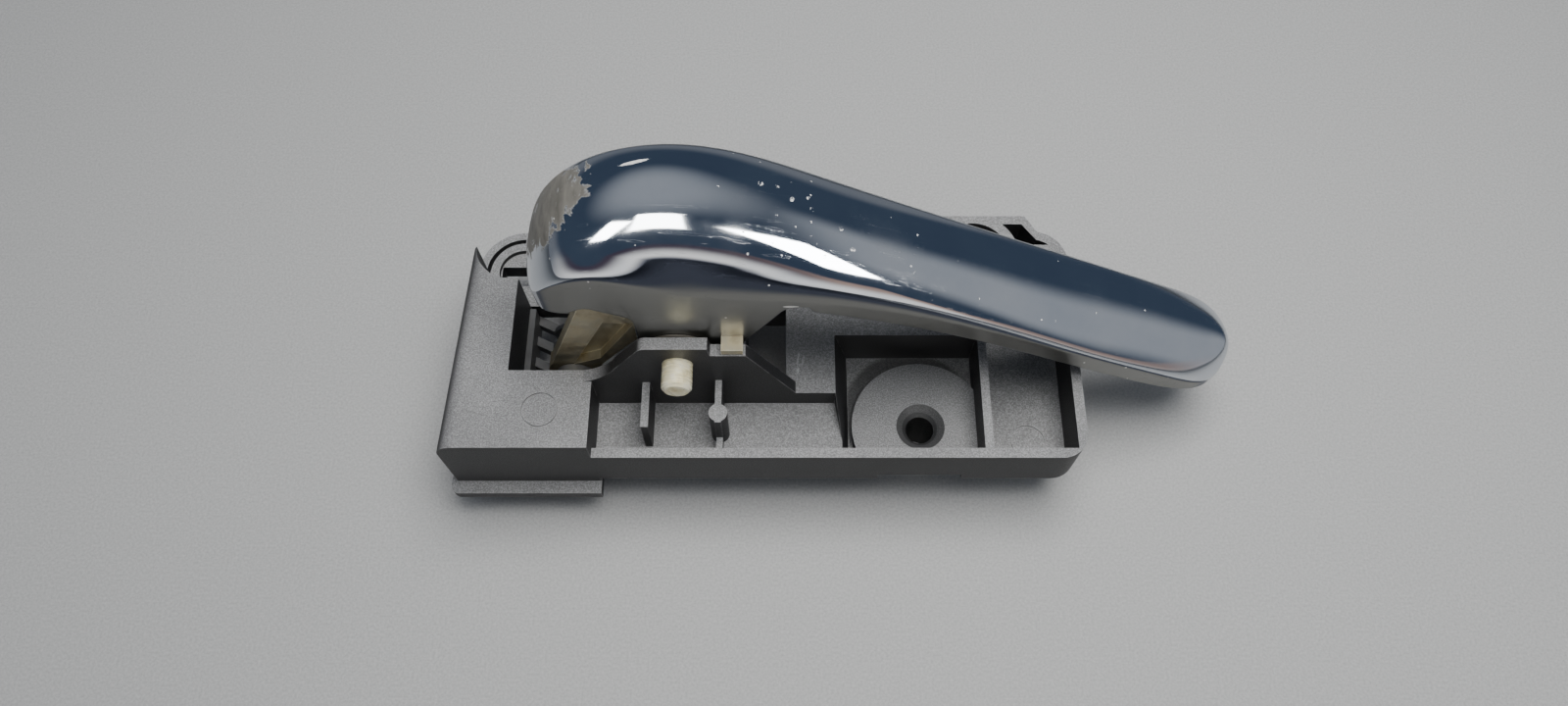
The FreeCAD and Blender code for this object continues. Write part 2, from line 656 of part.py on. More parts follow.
def backing_screws():
    """Two small screws that hold the cover to posts inside the grip."""
    screws = []
    for x in BACKING_SCREW_X:
        z = underside(x)
        place = V(x, BACKING_Y, 0)
        head = rod_z(place, 2.2, z - 0.2, z + 1.0)
        shank = rod_z(place, 0.95, z + 1.0, z + 4.6)
        recess = box(x - 1.4, BACKING_Y - 0.3, z - 1, x + 1.4, BACKING_Y + 0.3, z + 0.4)
        cross = box(x - 0.3, BACKING_Y - 1.4, z - 1, x + 0.3, BACKING_Y + 1.4, z + 0.4)
        screws.append(head.fuse(shank).cut([recess, cross]))
    return Part.makeCompound(screws)


# ---------------------------------------------------------------- bushes

def bush(y_cheek, outward):
    """Flanged bush: sleeve in the cheek's bore, flange against the ear side."""
    if outward < 0:
        sleeve = rod_y(PIVOT, BUSH_R, y_cheek, y_cheek + CHEEK)
        flange = rod_y(PIVOT, BUSH_FLANGE_R, y_cheek - BUSH_FLANGE, y_cheek)
    else:
        sleeve = rod_y(PIVOT, BUSH_R, y_cheek - CHEEK, y_cheek)
        flange = rod_y(PIVOT, BUSH_FLANGE_R, y_cheek, y_cheek + BUSH_FLANGE)
    return sleeve.fuse(flange).removeSplitter().cut(rod_y(PIVOT, PIN_R + RUNNING_GAP, 0, 35))


# ---------------------------------------------------------------- crank

def crank_arm():
    y0 = ARM_FRONT
    y1 = ARM_FRONT + ARM_THICKNESS
    plate = side_prism([
        (-60.6, ARM_TOP), (-62.3, 46.5), (-71.2, 22.5), (-68.5, 17.1), (-64.3, 17.1),
        (-60.6, 25.0), (-51.3, 38.0), (-45.4, 29.6), (-36.0, 33.6), (-34.0, 36.6), (-35.6, 50.0), (-38.0, ARM_TOP),
    ], y0, y1)
    end = rod_y(ROD_HOLE, ARM_END_R, y0, y1)
    recess = side_prism([
        (-58.4, 42.2), (-66.2, 24.6), (-60.9, 27.2), (-52.9, 41.6),
    ], y0 - 1, y0 + ARM_RECESS)
    tab = box(TAB_LEFT, TAB_FRONT, TAB_BOTTOM, TAB_RIGHT, y1, TAB_TOP)
    arm = union([plate, end, tab])
    cuts = [recess, rod_y(PIVOT, ARM_HUB_HOLE_R, y0 - 1, y1 + 1), rod_y(ROD_HOLE, ROD_HOLE_R, y0 - 1, y1 + 1)]
    cuts += [rod_y(p, SCREW_SHANK_R, y0 - 1, y1 + 1) for p in ARM_SCREWS]
    return arm.cut(cuts)


def crank_screws():
    y1 = ARM_FRONT + ARM_THICKNESS
    screws = []
    for place in ARM_SCREWS:
        shank = rod_y(place, SCREW_SHANK_R, CHEEK_FRONT + 1, y1)
        head = rod_y(place, SCREW_HEAD_R, y1, y1 + SCREW_HEAD)
        slot = box(place.x - 2, y1 + SCREW_HEAD - 0.7, place.z - 0.35, place.x + 2, y1 + SCREW_HEAD + 1,
                   place.z + 0.35)
        screws.append(shank.fuse(head).cut(slot))
    return Part.makeCompound(screws)


def rod_clip():
    """Plastic clip whose stem snaps into the arm and whose body takes the latch rod."""
    y1 = ARM_FRONT + ARM_THICKNESS
    stem = rod_y(ROD_HOLE, ROD_HOLE_R - RUNNING_GAP, ARM_FRONT - 1.2, y1 + 0.5)
    barb = rod_y(ROD_HOLE, ROD_HOLE_R + 0.7, ARM_FRONT - 1.5, ARM_FRONT - 0.15)
    body = rod_y(ROD_HOLE, CLIP_R, y1 + 0.2, y1 + CLIP_BODY)
    bore = Part.makeCylinder(CLIP_ROD_R, 20, V(ROD_HOLE.x - 10, y1 + 0.6 * CLIP_BODY, ROD_HOLE.z), V(1, 0, 0))
    mouth = box(ROD_HOLE.x - 10, y1 + 0.6 * CLIP_BODY - 1.1, ROD_HOLE.z, ROD_HOLE.x + 10,
                y1 + 0.6 * CLIP_BODY + 1.1, ROD_HOLE.z + 10)
    slit = box(ROD_HOLE.x - 4, ARM_FRONT - 2, ROD_HOLE.z - 0.4, ROD_HOLE.x + 4, y1 - 0.5, ROD_HOLE.z + 0.4)
    return union([stem, barb, body]).cut([bore, mouth, slit])


os.makedirs("parts", exist_ok=True)
save(base_housing(), "base_housing")
save(front_screw_seat(), "front_screw_seat")
save(rear_screw_seat(), "rear_screw_seat")
save(rod_guide(), "rod_guide")
save(pivot_pin(), "pivot_pin")
save(pin_retainer(), "pin_retainer")
save(return_spring(), "return_spring")
save(rest_bumper(), "rest_bumper")
save(open_bumper(), "open_bumper")
save(handle_shell(), "handle_shell")
save(handle_backing(), "handle_backing")
save(backing_screws(), "backing_screws")
save(bush(CHEEK_FRONT, -1), "front_bush")
save(bush(CHEEK_BACK, 1), "rear_bush")
save(crank_arm(), "crank_arm")
save(crank_screws(), "crank_screws")
save(rod_clip(), "rod_clip")
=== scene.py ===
import json
import math

import bmesh
import bpy
import numpy as np
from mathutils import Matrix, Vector


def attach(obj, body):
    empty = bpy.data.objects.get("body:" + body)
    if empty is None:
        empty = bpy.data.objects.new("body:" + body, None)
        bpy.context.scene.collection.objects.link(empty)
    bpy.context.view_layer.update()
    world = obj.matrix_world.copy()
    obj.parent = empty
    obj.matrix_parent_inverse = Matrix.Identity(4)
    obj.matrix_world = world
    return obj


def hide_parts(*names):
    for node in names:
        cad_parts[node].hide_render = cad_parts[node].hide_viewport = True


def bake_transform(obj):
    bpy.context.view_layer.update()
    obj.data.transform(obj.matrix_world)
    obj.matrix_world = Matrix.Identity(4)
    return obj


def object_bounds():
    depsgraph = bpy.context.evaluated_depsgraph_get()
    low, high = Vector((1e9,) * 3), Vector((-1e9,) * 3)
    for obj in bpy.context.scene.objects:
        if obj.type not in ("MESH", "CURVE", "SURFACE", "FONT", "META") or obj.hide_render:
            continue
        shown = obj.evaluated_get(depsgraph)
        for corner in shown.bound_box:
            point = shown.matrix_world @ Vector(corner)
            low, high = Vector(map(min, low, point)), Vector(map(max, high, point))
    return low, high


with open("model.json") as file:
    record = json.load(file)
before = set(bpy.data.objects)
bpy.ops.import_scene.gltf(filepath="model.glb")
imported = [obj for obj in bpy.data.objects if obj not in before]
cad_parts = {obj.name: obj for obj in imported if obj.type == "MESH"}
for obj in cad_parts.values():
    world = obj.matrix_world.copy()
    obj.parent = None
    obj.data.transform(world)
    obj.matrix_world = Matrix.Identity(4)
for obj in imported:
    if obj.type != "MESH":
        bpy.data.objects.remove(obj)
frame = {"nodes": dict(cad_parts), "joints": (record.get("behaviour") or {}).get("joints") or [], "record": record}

MM = 0.001
CAD_BOX = [list(corner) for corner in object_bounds()]

JOINTS = {joint["name"]: joint for joint in frame["joints"]}
PIVOT = Vector(JOINTS["lever_pivot"]["pos_m"])
NODES = frame["nodes"]

# ---------------------------------------------------------------- camera, floor and light

CAMERA_PLACE = Vector((-26.4, -80.9, 222.7)) * MM
CAMERA_TILT = math.radians(25.0)
CAMERA_LENS = 26.33
SENSOR_WIDTH = 36.0
LIGHT_TARGET = Vector((-0.02, 0.01, 0.03))
KEY_PLACE = (0.04, 0.04, 0.42)
KEY_SIZE = (0.30, 0.24)
KEY_POWER = 2.35
KEY_WHITE = (1.0, 0.995, 0.985)
BOX_WHITE = (1.0, 1.0, 0.98)
FLOOR_SIZE = 6.0

# Soft boxes that show only as highlights: name, place and size in metres, and power in watts.
HIGHLIGHT_BOXES = [
    ("head_box", (-0.04, -0.56, 0.84), (0.34, 0.34), 5.5),
    ("nose_box", (-0.36, -0.54, 0.76), (0.20, 0.26), 3.0),
    ("grip_box", (0.47, -0.58, 0.72), (0.28, 0.30), 6.0),
]

# Colours of the room that the chrome reflects.
GLOW_ABOVE = Vector((-0.04, 0.12, 0.99)).normalized()
NAVY = (0.048, 0.068, 0.104, 1.0)
GLOW = (0.37, 0.39, 0.42, 1.0)
DUSK = (0.07, 0.055, 0.08, 1.0)
COPPER = (0.50, 0.35, 0.29, 1.0)
HORIZON = (1.15, 1.12, 1.08, 1.0)


def make_camera():
    data = bpy.data.cameras.new("camera")
    data.sensor_width = SENSOR_WIDTH
    data.lens = CAMERA_LENS
    data.clip_start = 0.01
    camera = bpy.data.objects.new("camera", data)
    camera.location = CAMERA_PLACE
    camera.rotation_euler = (CAMERA_TILT, 0.0, 0.0)
    bpy.context.scene.collection.objects.link(camera)
    bpy.context.scene.camera = camera


def make_light(name, place, size, power, color):
    """Rectangular area light that faces the object."""
    data = bpy.data.lights.new(name, "AREA")
    data.shape = "RECTANGLE"
    data.size, data.size_y = size
    data.energy = power
    data.color = color
    light = bpy.data.objects.new(name, data)
    light.location = place
    light.rotation_euler = (LIGHT_TARGET - light.location).to_track_quat("-Z", "Y").to_euler()
    bpy.context.scene.collection.objects.link(light)
    return light


def make_lights():
    """One soft light overhead for the shading, and soft boxes for the highlights."""
    key = make_light("key", KEY_PLACE, KEY_SIZE, KEY_POWER, KEY_WHITE)
    key.visible_glossy = False
    for name, place, size, power in HIGHLIGHT_BOXES:
        box = make_light(name, place, size, power, BOX_WHITE)
        box.visible_diffuse = False


def make_world():
    """Dim navy room: glows overhead and to the right, and a dusky line over a pale horizon in front."""
    world = bpy.data.worlds.new("world")
    world.use_nodes = True
    bpy.context.scene.world = world
    tree = Tree(world.node_tree)
    direction = tree.add("ShaderNodeTexCoord").outputs["Generated"]
    split = tree.add("ShaderNodeSeparateXYZ")
    tree.put(split.inputs[0], direction)
    right = split.outputs["X"]
    front = tree.math("MULTIPLY", split.outputs["Y"], -1.0)
    above = tree.fade(tree.dot(direction, GLOW_ABOVE), 0.74, 0.99)
    beside = tree.times(tree.fade(front, 0.58, 0.34), tree.fade(front, -0.32, -0.02))
    beside = tree.times(tree.fade(right, 0.45, 0.70), beside)

    # The line and the horizon sink towards the far right.
    height = tree.math("ADD", split.outputs["Z"], tree.fade(right, 0.52, 0.70, 0.0, 0.24))
    line = tree.times(tree.fade(height, 0.38, 0.33), tree.fade(front, 0.2, 0.8))
    line_color = tree.mix(tree.fade(right, 0.15, 0.42), DUSK, COPPER)
    horizon = tree.times(tree.fade(height, 0.32, 0.10), tree.fade(front, 0.1, 0.95, 0.12, 1.0))

    color = tree.mix(tree.math("MAXIMUM", above, beside), NAVY, GLOW)
    color = tree.mix(line, color, line_color)
    color = tree.mix(horizon, color, HORIZON)
    tree.put(world.node_tree.nodes["Background"].inputs["Color"], color)


# ---------------------------------------------------------------- material tools

# Indices of the colour sockets on a Mix node, because its other types use the same socket names.
MIX_COLOR_A, MIX_COLOR_B, MIX_COLOR_OUT = 6, 7, 2


class Tree:
    """A node tree, with short ways to add and join nodes."""

    def __init__(self, tree):
        self.tree = tree

    def add(self, kind, **settings):
        node = self.tree.nodes.new(kind)
        for key, value in settings.items():
            setattr(node, key, value)
        return node

    def put(self, socket, value):
        if isinstance(value, bpy.types.NodeSocket):
            self.tree.links.new(value, socket)
        else:
            socket.default_value = value

    def fade(self, value, low, high, to_low=0.0, to_high=1.0):
        """Smooth step of the value from low to high, which may fall instead of rise."""
        node = self.add("ShaderNodeMapRange", interpolation_type="SMOOTHSTEP")
        self.put(node.inputs["Value"], value)
        self.put(node.inputs["From Min"], low)
        self.put(node.inputs["From Max"], high)
        self.put(node.inputs["To Min"], to_low)
        self.put(node.inputs["To Max"], to_high)
        return node.outputs["Result"]

    def math(self, operation, a, b=0.0, clamp=False):
        node = self.add("ShaderNodeMath", operation=operation, use_clamp=clamp)
        self.put(node.inputs[0], a)
        self.put(node.inputs[1], b)
        return node.outputs["Value"]

    def times(self, a, b):
        return self.math("MULTIPLY", a, b)

    def mix(self, factor, a, b):
        node = self.add("ShaderNodeMix", data_type="RGBA")
        self.put(node.inputs["Factor"], factor)
        self.put(node.inputs[MIX_COLOR_A], a)
        self.put(node.inputs[MIX_COLOR_B], b)
        return node.outputs[MIX_COLOR_OUT]

    def dot(self, a, b):
        node = self.add("ShaderNodeVectorMath", operation="DOT_PRODUCT")
        self.put(node.inputs[0], a)
        self.put(node.inputs[1], b)
        return node.outputs["Value"]


class Shader(Tree):
    """A material's node tree."""

    def __init__(self, name):
        self.material = bpy.data.materials.new(name)
        self.material.use_nodes = True
        super().__init__(self.material.node_tree)
        self.surface = self.tree.nodes["Principled BSDF"]
        coordinates = self.add("ShaderNodeTexCoord")
        self.place = coordinates.outputs["Object"]
        self.facing = coordinates.outputs["Normal"]

    def noise(self, scale, detail=4.0, rough=0.55, place=None, distortion=0.0):
        node = self.add("ShaderNodeTexNoise")
        self.put(node.inputs["Vector"], place or self.place)
        self.put(node.inputs["Scale"], scale)
        self.put(node.inputs["Detail"], detail)
        self.put(node.inputs["Roughness"], rough)
        self.put(node.inputs["Distortion"], distortion)
        return node.outputs["Fac"]

    def cells(self, scale):
        """Distance to the nearest of many scattered points."""
        node = self.add("ShaderNodeTexVoronoi")
        self.put(node.inputs["Vector"], self.place)
        self.put(node.inputs["Scale"], scale)
        return node.outputs["Distance"]

    def ramp(self, value, stops):
        node = self.add("ShaderNodeValToRGB")
        self.put(node.inputs["Fac"], value)
        band = node.color_ramp
        band.elements[0].position, band.elements[0].color = stops[0]
        band.elements[1].position, band.elements[1].color = stops[-1]
        for position, color in stops[1:-1]:
            band.elements.new(position).color = color
        return node.outputs["Color"]

    def stretched(self, scale, turn=0.0):
        """Coordinates for a texture drawn out along one axis, turned about Z by an angle in degrees."""
        node = self.add("ShaderNodeMapping")
        self.put(node.inputs["Vector"], self.place)
        self.put(node.inputs["Rotation"], (0.0, 0.0, math.radians(turn)))
        self.put(node.inputs["Scale"], scale)
        return node.outputs["Vector"]

    def near(self, centre, sizes, turn=0.0, ragged=None, rough=0.0):
        """1 at a place given in millimetres, fading to 0 at the edge of an ellipsoid turned about Z."""
        node = self.add("ShaderNodeMapping", vector_type="TEXTURE")
        self.put(node.inputs["Vector"], self.place)
        self.put(node.inputs["Location"], [v * MM for v in centre])
        self.put(node.inputs["Rotation"], (0.0, 0.0, math.radians(turn)))
        self.put(node.inputs["Scale"], [v * MM for v in sizes])
        length = self.add("ShaderNodeVectorMath", operation="LENGTH")
        self.put(length.inputs[0], node.outputs["Vector"])
        reach = length.outputs["Value"]
        if ragged is not None:
            reach = self.math("ADD", reach, self.times(self.math("SUBTRACT", ragged, 0.5), rough))
        return self.fade(reach, 1.0, 0.86)

    def edge(self, radius):
        """1 on convex and concave edges, 0 on flat faces."""
        bevel = self.add("ShaderNodeBevel", samples=6)
        self.put(bevel.inputs["Radius"], radius)
        geometry = self.add("ShaderNodeNewGeometry")
        return self.fade(self.dot(bevel.outputs["Normal"], geometry.outputs["Normal"]), 0.995, 0.86)

    def bump(self, height, strength, distance):
        node = self.add("ShaderNodeBump")
        self.put(node.inputs["Height"], height)
        self.put(node.inputs["Strength"], strength)
        self.put(node.inputs["Distance"], distance)
        return node.outputs["Normal"]

    def set(self, **values):
        names = {
            "color": "Base Color", "metallic": "Metallic", "roughness": "Roughness", "normal": "Normal",
            "specular": "Specular IOR Level",
        }
        for key, value in values.items():
            self.put(self.surface.inputs[names[key]], value)
        return self.material


def grey(value):
    return (value, value, value, 1.0)


# ---------------------------------------------------------------- materials

UP = (0.0, 0.0, 1.0)
FRONT = (0.0, -1.0, 0.0)
BACK = (0.0, 1.0, 0.0)

# Centres of the marks of wear, and of the pocket floor painted darker as shade, in millimetres.
POCKET_SHADE_CENTRE = (-1.5, 3.2, 12.9)
SCUFFED_WALL = (-23.0, 8.6, 23.7)
WORN_HEAD = (-64.6, 19.4, 61.5)
HEAD_CHIP = (-50.1, 23.2, 70.0)
LUG_CHIP = (-25.3, 7.0, 53.0)
PITTED_GRIP = (-22.5, 17.5, 66.0)
SMEARED_GRIP = (-8.5, 16.4, 60.0)


def base_plastic():
    """Black glass-filled moulding: pale grain on faces that look up, partly dust and partly painted sheen, the
    front screw pocket's floor painted darker as shade, and lighter worn edges.
    """
    s = Shader("base_plastic")
    grain = s.noise(4200.0, 3.0, 0.7)
    cloud = s.noise(60.0, 4.0)
    base = s.ramp(cloud, [(0.3, (0.013, 0.013, 0.014, 1.0)), (0.7, (0.020, 0.020, 0.022, 1.0))])

    pale = s.ramp(grain, [(0.36, grey(0.16)), (0.50, grey(0.25)), (0.66, grey(0.43))])
    # Faces that look up get the pale grain: partly dust, partly painted sheen standing for the overhead light on
    # top faces.
    up = s.fade(s.dot(s.facing, UP), 0.55, 0.98)
    dust_and_sheen = s.times(up, s.fade(s.noise(45.0, 5.0), 0.25, 0.75, 0.72, 1.0))
    # Painted shade: the front screw pocket's floor gets less of the pale top colour, so it reads darker.
    pocket_shade = s.near(POCKET_SHADE_CENTRE, (14.5, 14.5, 1.5))
    dust_and_sheen = s.times(dust_and_sheen, s.fade(pocket_shade, 0.0, 1.0, 1.0, 0.30))
    base = s.mix(dust_and_sheen, base, pale)

    scuff = s.noise(1.0, 4.0, 0.6, s.stretched((1500.0, 300.0, 300.0), 20.0))
    scuffed = s.near(SCUFFED_WALL, (2.0, 4.2, 3.0), 15.0, scuff, 1.5)
    base = s.mix(s.times(scuffed, s.fade(scuff, 0.52, 0.60)), base, grey(0.45))

    worn = s.times(s.edge(0.35 * MM), s.fade(s.noise(420.0, 4.0), 0.30, 0.70))
    base = s.mix(s.times(worn, 0.60), base, grey(0.36))
    roughness = s.fade(grain, 0.3, 0.7, 0.46, 0.62)
    normal = s.bump(grain, 0.35, 0.08 * MM)
    return s.set(color=base, roughness=roughness, normal=normal, specular=0.42)


def grey_plastic():
    s = Shader("grey_plastic")
    cloud = s.noise(180.0, 4.0)
    base = s.ramp(cloud, [(0.3, grey(0.07)), (0.7, grey(0.12))])
    normal = s.bump(s.noise(2200.0, 2.0), 0.25, 0.06 * MM)
    return s.set(color=base, roughness=s.fade(cloud, 0.3, 0.7, 0.38, 0.55), normal=normal)


def plate_and_reflection_color(s, haze, side):
    """Bright plate, with painted reflections: the side panel, a strip under the crease and the back are painted
    darker.

    These darker faces stand for what polished plate mirrors in a dim room, so they aren't a real tint.
    """
    toward_front = s.dot(s.facing, FRONT)
    # Painted reflection: a dark strip just under the crease.
    crease_reflection = s.times(s.fade(toward_front, 0.84, 0.87), s.fade(toward_front, 0.975, 0.92))
    # Painted reflection: faces turned to the back are darker.
    back_reflection = s.fade(s.dot(s.facing, BACK), 0.40, 0.58)
    color = s.ramp(haze, [(0.25, (0.58, 0.62, 0.68, 1.0)), (0.75, (0.70, 0.72, 0.75, 1.0))])
    # Painted reflection: the side panel is darker.
    color = s.mix(side, color, (0.21, 0.21, 0.20, 1.0))
    color = s.mix(crease_reflection, color, (0.07, 0.08, 0.11, 1.0))
    return s.mix(back_reflection, color, (0.26, 0.27, 0.29, 1.0))


def worn_patch(s, streaks):
    """Mask and colour of the patch on the head's nose where the plate has worn through."""
    ragged = s.noise(420.0, 8.0, 0.62, distortion=0.8)
    worn = s.near(WORN_HEAD, (8.8, 6.2, 16.0), 12.0, ragged, 1.6)
    grime = s.noise(700.0, 6.0, 0.6, s.stretched((1.0, 0.35, 1.0), 35.0))
    color = s.ramp(grime, [(0.3, (0.10, 0.095, 0.083, 1.0)), (0.75, (0.21, 0.20, 0.175, 1.0))])
    return s.times(worn, s.fade(streaks, 0.26, 0.40)), color


def bare_spots(s, fine):
    """Mask of the pits on the grip, scattered dust, and the two chips."""
    broken = s.fade(s.noise(1500.0, 4.0, 0.7), 0.44, 0.54)
    dots = s.times(s.fade(s.cells(420.0), 0.26, 0.14), broken)
    pitted = s.near(PITTED_GRIP, (11.0, 5.5, 12.0), -20.0, s.noise(240.0), 1.2)
    pits = s.times(dots, s.times(pitted, s.fade(s.noise(210.0, 2.0), 0.46, 0.56)))
    sparse = s.times(broken, s.fade(s.noise(90.0, 2.0), 0.44, 0.52))
    dust = s.times(s.fade(s.cells(330.0), 0.085, 0.05), sparse)
    chip = s.near(HEAD_CHIP, (2.5, 0.38, 4.0), 12.0, fine, 0.9)
    chip_low = s.near(LUG_CHIP, (1.5, 2.0, 0.35), 0.0, fine, 0.5)
    return s.math("MAXIMUM", s.math("MAXIMUM", pits, dust), s.math("MAXIMUM", chip, chip_low))


def chrome():
    """Bright plate: hazed side panel painted darker as a reflection, painted dark reflections under the crease and
    on the back, a worn patch on the head, chips, pits and hairline scratches.
    """
    s = Shader("chrome")
    haze = s.noise(70.0, 5.0, 0.6)
    fine = s.noise(1300.0, 3.0)
    streaks = s.noise(1.0, 5.0, 0.62, s.stretched((900.0, 260.0, 400.0), 35.0))
    # Side panel mask: its darker colour is a painted reflection, and its extra roughness is real haze.
    side = s.fade(s.dot(s.facing, FRONT), 0.86, 0.91)
    smear = s.near(SMEARED_GRIP, (8.0, 3.2, 8.0), -25.0, streaks, 1.6)
    hair = s.noise(1.0, 2.0, 0.5, s.stretched((70.0, 1500.0, 300.0), -28.0))
    scratch = s.times(s.fade(s.math("ABSOLUTE", s.math("SUBTRACT", hair, 0.62)), 0.012, 0.004), 0.5)
    worn, worn_color = worn_patch(s, streaks)
    bare = bare_spots(s, fine)
    matt = s.math("MAXIMUM", worn, bare)

    color = s.mix(worn, plate_and_reflection_color(s, haze, side), worn_color)
    color = s.mix(bare, color, (0.74, 0.73, 0.70, 1.0))
    roughness = s.math("ADD", s.fade(haze, 0.40, 0.80, 0.05, 0.13), s.times(side, 0.26))
    roughness = s.math("ADD", roughness, s.times(smear, 0.09))
    roughness = s.math("ADD", roughness, s.times(scratch, 0.25))
    roughness = s.math("ADD", roughness, s.times(matt, 0.45), clamp=True)
    metallic = s.fade(matt, 0.2, 0.8, 1.0, 0.0)
    normal = s.bump(s.math("SUBTRACT", s.times(fine, 0.10), matt), 0.25, 0.03 * MM)
    return s.set(color=color, metallic=metallic, roughness=roughness, normal=normal)


def zinc_steel():
    """Yellow passivated zinc on a pressing: blotchy tint, fine drawing marks and bright worn edges."""
    s = Shader("zinc_steel")
    blotch = s.noise(260.0, 5.0, 0.6, distortion=0.6)
    tint = s.ramp(blotch, [
        (0.25, (0.26, 0.22, 0.145, 1.0)), (0.48, (0.42, 0.37, 0.25, 1.0)),
        (0.62, (0.38, 0.35, 0.26, 1.0)), (0.8, (0.50, 0.45, 0.33, 1.0)),
    ])
    worn = s.times(s.edge(0.25 * MM), 0.8)
    tint = s.mix(worn, tint, (0.86, 0.80, 0.62, 1.0))
    roughness = s.fade(s.noise(700.0, 4.0), 0.3, 0.75, 0.34, 0.52)
    normal = s.bump(s.noise(1500.0, 3.0), 0.25, 0.05 * MM)
    return s.set(color=tint, metallic=0.7, roughness=roughness, normal=normal)


def pin_highlight_zinc():
    """The pin's yellow zinc, painted brighter than the arm's as a painted highlight, with fine turning marks round
    it.
    """
    s = Shader("pin_highlight_zinc")
    marks = s.noise(1.0, 4.0, 0.6, s.stretched((300.0, 2600.0, 300.0)))
    blotch = s.noise(420.0, 5.0, 0.65)
    # Painted highlight: the tint runs much paler than the arm's zinc.
    tint = s.ramp(blotch, [
        (0.30, (0.62, 0.52, 0.26, 1.0)), (0.50, (0.92, 0.85, 0.58, 1.0)), (0.75, (1.0, 0.97, 0.82, 1.0)),
    ])
    roughness = s.fade(marks, 0.3, 0.7, 0.20, 0.34)
    return s.set(color=tint, metallic=0.25, roughness=roughness, normal=s.bump(marks, 0.3, 0.05 * MM))


def spring_steel():
    s = Shader("spring_steel")
    cloud = s.noise(500.0, 4.0)
    base = s.ramp(cloud, [(0.3, (0.32, 0.32, 0.33, 1.0)), (0.75, (0.50, 0.50, 0.50, 1.0))])
    return s.set(color=base, metallic=1.0, roughness=s.fade(cloud, 0.3, 0.7, 0.26, 0.42))


def black_steel():
    s = Shader("black_steel")
    cloud = s.noise(600.0, 4.0)
    base = s.ramp(cloud, [(0.3, grey(0.03)), (0.75, grey(0.08))])
    base = s.mix(s.times(s.edge(0.2 * MM), 0.6), base, grey(0.35))
    return s.set(color=base, metallic=0.8, roughness=s.fade(cloud, 0.3, 0.7, 0.38, 0.55))


def rubber():
    s = Shader("rubber")
    cloud = s.noise(400.0, 4.0)
    base = s.ramp(cloud, [(0.3, grey(0.018)), (0.7, grey(0.032))])
    return s.set(color=base, roughness=0.78, normal=s.bump(cloud, 0.2, 0.08 * MM), specular=0.3)


def nylon():
    s = Shader("nylon")
    cloud = s.noise(300.0, 4.0)
    base = s.ramp(cloud, [(0.3, (0.055, 0.048, 0.038, 1.0)), (0.7, (0.085, 0.075, 0.060, 1.0))])
    return s.set(color=base, roughness=0.42, normal=s.bump(s.noise(1400.0), 0.12, 0.05 * MM))


def floor_paper():
    s = Shader("floor")
    fleck = s.noise(2000.0, 3.0, 0.7)
    base = s.ramp(fleck, [(0.3, (0.36, 0.36, 0.355, 1.0)), (0.7, (0.50, 0.50, 0.49, 1.0))])
    return s.set(color=base, roughness=0.75, normal=s.bump(fleck, 0.3, 0.15 * MM))


def make_floor():
    bpy.ops.mesh.primitive_plane_add(size=FLOOR_SIZE, location=(0.0, 0.0, CAD_BOX[0][2]))
    floor = bpy.context.object
    floor.name = "floor"
    floor.data.materials.append(floor_paper())


# ---------------------------------------------------------------- CAD nodes that keep their shape

FINISH = {
    "base_plastic": base_plastic, "grey_plastic": grey_plastic, "chrome": chrome, "zinc_steel": zinc_steel,
    "spring_steel": spring_steel, "black_steel": black_steel, "rubber": rubber, "nylon": nylon,
    "backing_plastic": base_plastic,
}

# Width in millimetres of the small bevel on each CAD node's edges.
BEVEL_WIDTH = {
    "base_housing": 0.25, "front_screw_seat": 0.2, "rear_screw_seat": 0.2, "rod_guide": 0.2,
    "pin_retainer": 0.08, "rest_bumper": 0.15, "open_bumper": 0.15, "handle_backing": 0.2,
    "backing_screws": 0.08, "crank_arm": 0.22, "crank_screws": 0.08, "rod_clip": 0.12,
    "front_bush": 0.08, "rear_bush": 0.08, "pivot_pin": 0.05,
}
BEVEL_SEGMENTS = 2
BEVEL_ANGLE = math.radians(40.0)


def make_materials():
    """Material of each slot. Slots with the same finish share one."""
    made = {}
    materials = {}
    for slot, maker in FINISH.items():
        if maker not in made:
            made[maker] = maker()
        materials[slot] = made[maker]
    return materials


def dress_cad_nodes(materials):
    """Give each CAD node its slot's material, with a brighter copy of the zinc for the pin as a painted highlight,
    and a small bevel.
    """
    special = {"pivot_pin": pin_highlight_zinc()}
    for part in frame["record"]["subparts"]:
        node = NODES[part["node"]]
        node.data.materials.clear()
        node.data.materials.append(special.get(part["node"], materials[part["material_slot"]]))
        width = BEVEL_WIDTH.get(part["node"])
        if width:
            bevel = node.modifiers.new("bevel", "BEVEL")
            bevel.width = width * MM
            bevel.segments = BEVEL_SEGMENTS
            bevel.limit_method = "ANGLE"
            bevel.angle_limit = BEVEL_ANGLE
            bevel.harden_normals = True


# ---------------------------------------------------------------- lever

